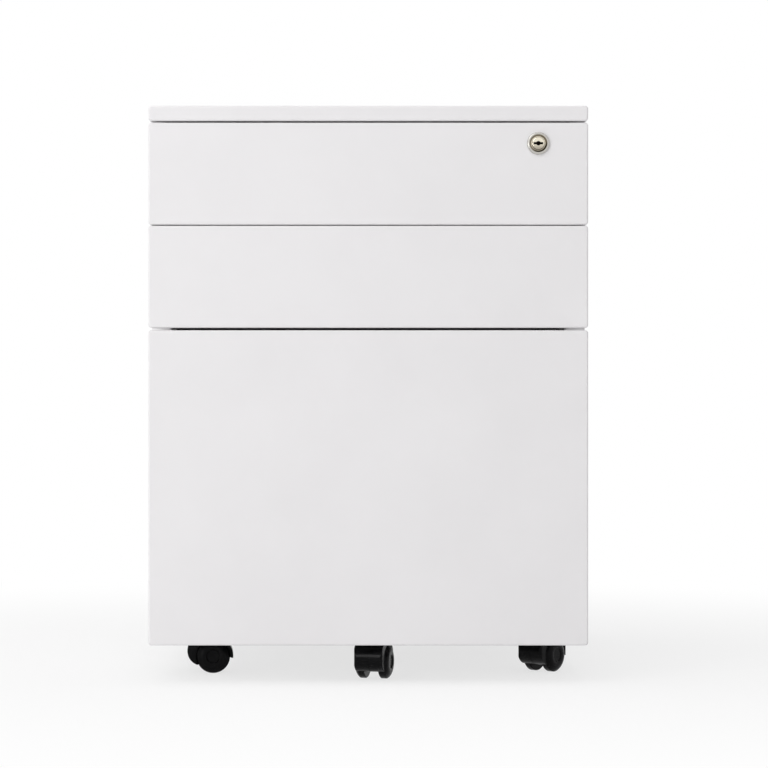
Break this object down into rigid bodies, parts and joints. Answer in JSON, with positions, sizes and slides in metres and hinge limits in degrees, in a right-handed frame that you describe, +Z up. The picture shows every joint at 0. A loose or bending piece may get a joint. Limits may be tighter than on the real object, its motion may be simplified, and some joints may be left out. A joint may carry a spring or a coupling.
{
  "type": "mobile filing pedestal",
  "caption": "Low white sheet-steel filing pedestal on castors with stacked drawers, side finger recesses and a lock that holds every drawer.",
  "frame": {"origin": "on the floor under the middle of the footprint, lock bezel included", "axes": "+Z up, drawer fronts facing -Y, +X to the right seen from the front"},
  "size_m": [0.39, 0.5024, 0.5131],
  "materials": {
    "white_powder_coat": "smooth satin powder coat, cool white",
    "zinc_plated_steel": "bright zinc-plated pressed steel",
    "lock_nickel": "polished nickel plate",
    "black_nylon": "semi-gloss black nylon"
  },
  "bodies": {
    "carcass": {"top_panel": "white_powder_coat", "left_side_panel": "white_powder_coat", "right_side_panel": "white_powder_coat", "back_panel": "white_powder_coat", "base_pan": "white_powder_coat", "slide_uprights": "zinc_plated_steel", "lock_bar_guides": "zinc_plated_steel", "castor_plates": "zinc_plated_steel", "castor_kingpins": "zinc_plated_steel", "carcass_screws": "zinc_plated_steel", "box_slide_cabinet_members": "zinc_plated_steel", "file_slide_cabinet_members": "zinc_plated_steel"},
    "lock_bar": {"lock_bar": "zinc_plated_steel", "lock_bar_arms": "zinc_plated_steel"},
    "top_drawer": {"top_drawer_front": "white_powder_coat", "top_drawer_tray": "white_powder_coat", "top_slide_drawer_members": "zinc_plated_steel", "top_drawer_striker": "zinc_plated_steel", "lock_barrel": "lock_nickel", "lock_nut": "lock_nickel"},
    "lock_plug": {"lock_plug": "lock_nickel", "lock_cam": "zinc_plated_steel"},
    "middle_drawer": {"middle_drawer_front": "white_powder_coat", "middle_drawer_tray": "white_powder_coat", "middle_slide_drawer_members": "zinc_plated_steel", "middle_drawer_striker": "zinc_plated_steel"},
    "file_drawer": {"file_drawer_front": "white_powder_coat", "file_drawer_tray": "white_powder_coat", "file_slide_drawer_members": "zinc_plated_steel", "file_drawer_striker": "zinc_plated_steel", "hanging_rails": "white_powder_coat", "drawer_castor_bracket": "white_powder_coat", "drawer_castor_plate": "zinc_plated_steel", "drawer_castor_kingpin": "zinc_plated_steel", "drawer_castor_screws": "zinc_plated_steel"},
    "file_slide_middle": {"file_slide_middle_members": "zinc_plated_steel"},
    "top_ball_cages": {"top_ball_cages": "zinc_plated_steel"},
    "middle_ball_cages": {"middle_ball_cages": "zinc_plated_steel"},
    "file_inner_ball_cages": {"file_inner_ball_cages": "zinc_plated_steel"},
    "file_outer_ball_cages": {"file_outer_ball_cages": "zinc_plated_steel"},
    "front_left_castor": {"front_left_castor_hood": "black_nylon", "front_left_castor_axle": "zinc_plated_steel"},
    "front_left_castor_left_wheel": {"front_left_castor_left_wheel": "black_nylon"},
    "front_left_castor_right_wheel": {"front_left_castor_right_wheel": "black_nylon"},
    "front_right_castor": {"front_right_castor_hood": "black_nylon", "front_right_castor_axle": "zinc_plated_steel"},
    "front_right_castor_left_wheel": {"front_right_castor_left_wheel": "black_nylon"},
    "front_right_castor_right_wheel": {"front_right_castor_right_wheel": "black_nylon"},
    "rear_left_castor": {"rear_left_castor_hood": "black_nylon", "rear_left_castor_axle": "zinc_plated_steel"},
    "rear_left_castor_left_wheel": {"rear_left_castor_left_wheel": "black_nylon"},
    "rear_left_castor_right_wheel": {"rear_left_castor_right_wheel": "black_nylon"},
    "rear_right_castor": {"rear_right_castor_hood": "black_nylon", "rear_right_castor_axle": "zinc_plated_steel"},
    "rear_right_castor_left_wheel": {"rear_right_castor_left_wheel": "black_nylon"},
    "rear_right_castor_right_wheel": {"rear_right_castor_right_wheel": "black_nylon"},
    "drawer_castor": {"drawer_castor_hood": "black_nylon", "drawer_castor_axle": "zinc_plated_steel"},
    "drawer_castor_left_wheel": {"drawer_castor_left_wheel": "black_nylon"},
    "drawer_castor_right_wheel": {"drawer_castor_right_wheel": "black_nylon"}
  },
  "joints": [
    {"name": "top_drawer_slide", "type": "slide", "parent": "carcass", "child": "top_drawer", "axis": [0, -1, 0], "range_m": [0, 0.3]},
    {"name": "top_cage_slide", "type": "slide", "parent": "carcass", "child": "top_ball_cages", "axis": [0, -1, 0], "range_m": [0, 0.15]},
    {"name": "middle_drawer_slide", "type": "slide", "parent": "carcass", "child": "middle_drawer", "axis": [0, -1, 0], "range_m": [0, 0.3]},
    {"name": "middle_cage_slide", "type": "slide", "parent": "carcass", "child": "middle_ball_cages", "axis": [0, -1, 0], "range_m": [0, 0.15]},
    {"name": "file_drawer_slide", "type": "slide", "parent": "carcass", "child": "file_drawer", "axis": [0, -1, 0], "range_m": [0, 0.4]},
    {"name": "file_middle_slide", "type": "slide", "parent": "carcass", "child": "file_slide_middle", "axis": [0, -1, 0], "range_m": [0, 0.2]},
    {"name": "file_outer_cage_slide", "type": "slide", "parent": "carcass", "child": "file_outer_ball_cages", "axis": [0, -1, 0], "range_m": [0, 0.1]},
    {"name": "file_inner_cage_slide", "type": "slide", "parent": "carcass", "child": "file_inner_ball_cages", "axis": [0, -1, 0], "range_m": [0, 0.3]},
    {"name": "lock_bar_lift", "type": "slide", "parent": "carcass", "child": "lock_bar", "axis": [0, 0, 1], "range_m": [0, 0.00707]},
    {"name": "lock_turn", "type": "hinge", "parent": "top_drawer", "child": "lock_plug", "pos_m": [0.1507, -0.2488, 0.4796], "axis": [0, -1, 0], "range_deg": [0, 90]},
    {"name": "front_left_castor_swivel", "type": "hinge", "parent": "carcass", "child": "front_left_castor", "pos_m": [-0.1555, -0.1388, 0.036], "axis": [0, 0, 1], "continuous": true},
    {"name": "front_left_castor_left_wheel_roll", "type": "hinge", "parent": "front_left_castor", "child": "front_left_castor_left_wheel", "pos_m": [-0.14352, -0.13817, 0.0155], "axis": [-0.0523, 0.9986, 0], "continuous": true},
    {"name": "front_left_castor_right_wheel_roll", "type": "hinge", "parent": "front_left_castor", "child": "front_left_castor_right_wheel", "pos_m": [-0.14352, -0.13817, 0.0155], "axis": [-0.0523, 0.9986, 0], "continuous": true},
    {"name": "front_right_castor_swivel", "type": "hinge", "parent": "carcass", "child": "front_right_castor", "pos_m": [0.1555, -0.1388, 0.036], "axis": [0, 0, 1], "continuous": true},
    {"name": "front_right_castor_left_wheel_roll", "type": "hinge", "parent": "front_right_castor", "child": "front_right_castor_left_wheel", "pos_m": [0.16289, -0.12934, 0.0155], "axis": [-0.788, 0.6157, 0], "continuous": true},
    {"name": "front_right_castor_right_wheel_roll", "type": "hinge", "parent": "front_right_castor", "child": "front_right_castor_right_wheel", "pos_m": [0.16289, -0.12934, 0.0155], "axis": [-0.788, 0.6157, 0], "continuous": true},
    {"name": "rear_left_castor_swivel", "type": "hinge", "parent": "carcass", "child": "rear_left_castor", "pos_m": [-0.1555, 0.1892, 0.036], "axis": [0, 0, 1], "continuous": true},
    {"name": "rear_left_castor_left_wheel_roll", "type": "hinge", "parent": "rear_left_castor", "child": "rear_left_castor_left_wheel", "pos_m": [-0.14491, 0.19483, 0.0155], "axis": [-0.4695, 0.8829, 0], "continuous": true},
    {"name": "rear_left_castor_right_wheel_roll", "type": "hinge", "parent": "rear_left_castor", "child": "rear_left_castor_right_wheel", "pos_m": [-0.14491, 0.19483, 0.0155], "axis": [-0.4695, 0.8829, 0], "continuous": true},
    {"name": "rear_right_castor_swivel", "type": "hinge", "parent": "carcass", "child": "rear_right_castor", "pos_m": [0.1555, 0.1892, 0.036], "axis": [0, 0, 1], "continuous": true},
    {"name": "rear_right_castor_left_wheel_roll", "type": "hinge", "parent": "rear_right_castor", "child": "rear_right_castor_left_wheel", "pos_m": [0.16678, 0.1851, 0.0155], "axis": [0.342, 0.9397, 0], "continuous": true},
    {"name": "rear_right_castor_right_wheel_roll", "type": "hinge", "parent": "rear_right_castor", "child": "rear_right_castor_right_wheel", "pos_m": [0.16678, 0.1851, 0.0155], "axis": [0.342, 0.9397, 0], "continuous": true},
    {"name": "drawer_castor_swivel", "type": "hinge", "parent": "file_drawer", "child": "drawer_castor", "pos_m": [0.0025, -0.2116, 0.0365], "axis": [0, 0, 1], "continuous": true},
    {"name": "drawer_castor_left_wheel_roll", "type": "hinge", "parent": "drawer_castor", "child": "drawer_castor_left_wheel", "pos_m": [0.00561, -0.20001, 0.016], "axis": [-0.9659, 0.2588, 0], "continuous": true},
    {"name": "drawer_castor_right_wheel_roll", "type": "hinge", "parent": "drawer_castor", "child": "drawer_castor_right_wheel", "pos_m": [0.00561, -0.20001, 0.016], "axis": [-0.9659, 0.2588, 0], "continuous": true}
  ],
  "couplings": [
    {"joint": "top_cage_slide", "follows": "top_drawer_slide", "ratio": 0.5},
    {"joint": "middle_cage_slide", "follows": "middle_drawer_slide", "ratio": 0.5},
    {"joint": "file_middle_slide", "follows": "file_drawer_slide", "ratio": 0.5},
    {"joint": "file_outer_cage_slide", "follows": "file_drawer_slide", "ratio": 0.25},
    {"joint": "file_inner_cage_slide", "follows": "file_drawer_slide", "ratio": 0.75},
    {"joint": "lock_turn", "follows": "lock_bar_lift", "rad_per_m": 222.14}
  ]
}
